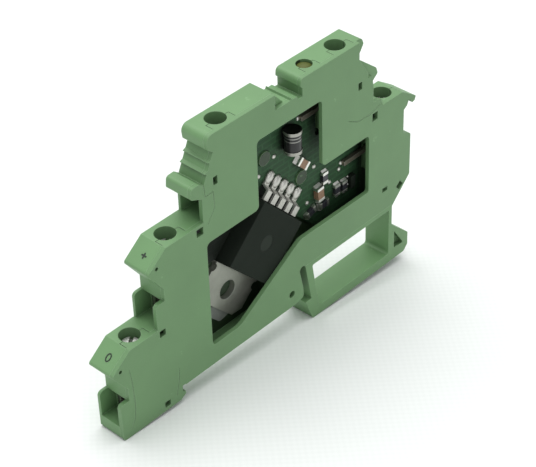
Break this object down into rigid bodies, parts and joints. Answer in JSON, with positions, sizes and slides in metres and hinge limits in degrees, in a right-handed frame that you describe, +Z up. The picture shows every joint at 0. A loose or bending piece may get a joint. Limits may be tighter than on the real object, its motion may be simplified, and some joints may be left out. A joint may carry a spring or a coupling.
{
  "type": "surge protector module",
  "caption": "Narrow green rail-mounted terminal module with stepped screw terminals, a spring rail foot and an open window onto its circuit board and power transistor.",
  "frame": {"origin": "centre of the seat that rests on the 35 mm hat rail, at the middle of the module's width", "axes": "+X along the module, from the wing with the fixed hook to the spring foot; +Y through the width, from the open cover to the closed back; +Z up, away from the rail"},
  "size_m": [0.0841, 0.0062, 0.0579],
  "materials": {
    "housing_green": "fine moulded satin",
    "board_green": "solder mask",
    "case_black": "moulded epoxy",
    "tinned_metal": "tin plated, slightly dull",
    "silicone_grey": "soft cured silicone",
    "screw_steel": "zinc plated",
    "cage_steel": "zinc plated",
    "lamp_amber": "tinted clear resin",
    "diode_black": "glass body, lacquered",
    "resistor_body": "glazed ceramic",
    "capacitor_body": "bare ceramic"
  },
  "bodies": {
    "housing": {"base_housing": "housing_green", "front_cover": "housing_green", "circuit_board": "board_green", "power_transistor_case": "case_black", "power_transistor_tab": "tinned_metal", "power_transistor_leads": "tinned_metal", "silicone_bead": "silicone_grey", "indicator_lamp": "lamp_amber", "indicator_lamp_leads": "tinned_metal", "protection_diode": "diode_black", "protection_diode_caps": "tinned_metal", "chip_resistors": "resistor_body", "chip_capacitors": "capacitor_body", "small_transistor": "case_black", "contact_bar_lower_left": "tinned_metal", "contact_bar_middle_left": "tinned_metal", "contact_bar_top_left": "tinned_metal", "contact_bar_top_right": "tinned_metal", "contact_bar_lower_right": "tinned_metal"},
    "screw_lower_left": {"clamp_screw_lower_left": "screw_steel"},
    "cage_lower_left": {"clamp_cage_lower_left": "cage_steel"},
    "screw_middle_left": {"clamp_screw_middle_left": "screw_steel"},
    "cage_middle_left": {"clamp_cage_middle_left": "cage_steel"},
    "screw_top_left": {"clamp_screw_top_left": "screw_steel"},
    "cage_top_left": {"clamp_cage_top_left": "cage_steel"},
    "screw_top_right": {"clamp_screw_top_right": "screw_steel"},
    "cage_top_right": {"clamp_cage_top_right": "cage_steel"},
    "screw_lower_right": {"clamp_screw_lower_right": "screw_steel"},
    "cage_lower_right": {"clamp_cage_lower_right": "cage_steel"}
  },
  "joints": [
    {"name": "screw_turn_lower_left", "type": "hinge", "parent": "housing", "child": "screw_lower_left", "pos_m": [-0.0266, 0, 0.017], "axis": [0, 0, -1], "range_deg": [0, 1800]},
    {"name": "cage_rise_lower_left", "type": "slide", "parent": "housing", "child": "cage_lower_left", "axis": [0, 0, 1], "range_m": [0, 0.0025]},
    {"name": "screw_turn_middle_left", "type": "hinge", "parent": "housing", "child": "screw_middle_left", "pos_m": [-0.0162, 0, 0.0338], "axis": [0, 0, -1], "range_deg": [0, 1800]},
    {"name": "cage_rise_middle_left", "type": "slide", "parent": "housing", "child": "cage_middle_left", "axis": [0, 0, 1], "range_m": [0, 0.0025]},
    {"name": "screw_turn_top_left", "type": "hinge", "parent": "housing", "child": "screw_top_left", "pos_m": [-0.0024, 0, 0.0511], "axis": [0, 0, -1], "range_deg": [0, 1800]},
    {"name": "cage_rise_top_left", "type": "slide", "parent": "housing", "child": "cage_top_left", "axis": [0, 0, 1], "range_m": [0, 0.0025]},
    {"name": "screw_turn_top_right", "type": "hinge", "parent": "housing", "child": "screw_top_right", "pos_m": [0.0293, 0, 0.0511], "axis": [0, 0, -1], "range_deg": [0, 1800]},
    {"name": "cage_rise_top_right", "type": "slide", "parent": "housing", "child": "cage_top_right", "axis": [0, 0, 1], "range_m": [0, 0.0025]},
    {"name": "screw_turn_lower_right", "type": "hinge", "parent": "housing", "child": "screw_lower_right", "pos_m": [0.0431, 0, 0.0338], "axis": [0, 0, -1], "range_deg": [0, 1800]},
    {"name": "cage_rise_lower_right", "type": "slide", "parent": "housing", "child": "cage_lower_right", "axis": [0, 0, 1], "range_m": [0, 0.0025]}
  ],
  "couplings": [
    {"joint": "screw_turn_lower_left", "follows": "cage_rise_lower_left", "rad_per_m": 12566},
    {"joint": "screw_turn_middle_left", "follows": "cage_rise_middle_left", "rad_per_m": 12566},
    {"joint": "screw_turn_top_left", "follows": "cage_rise_top_left", "rad_per_m": 12566},
    {"joint": "screw_turn_top_right", "follows": "cage_rise_top_right", "rad_per_m": 12566},
    {"joint": "screw_turn_lower_right", "follows": "cage_rise_lower_right", "rad_per_m": 12566}
  ]
}
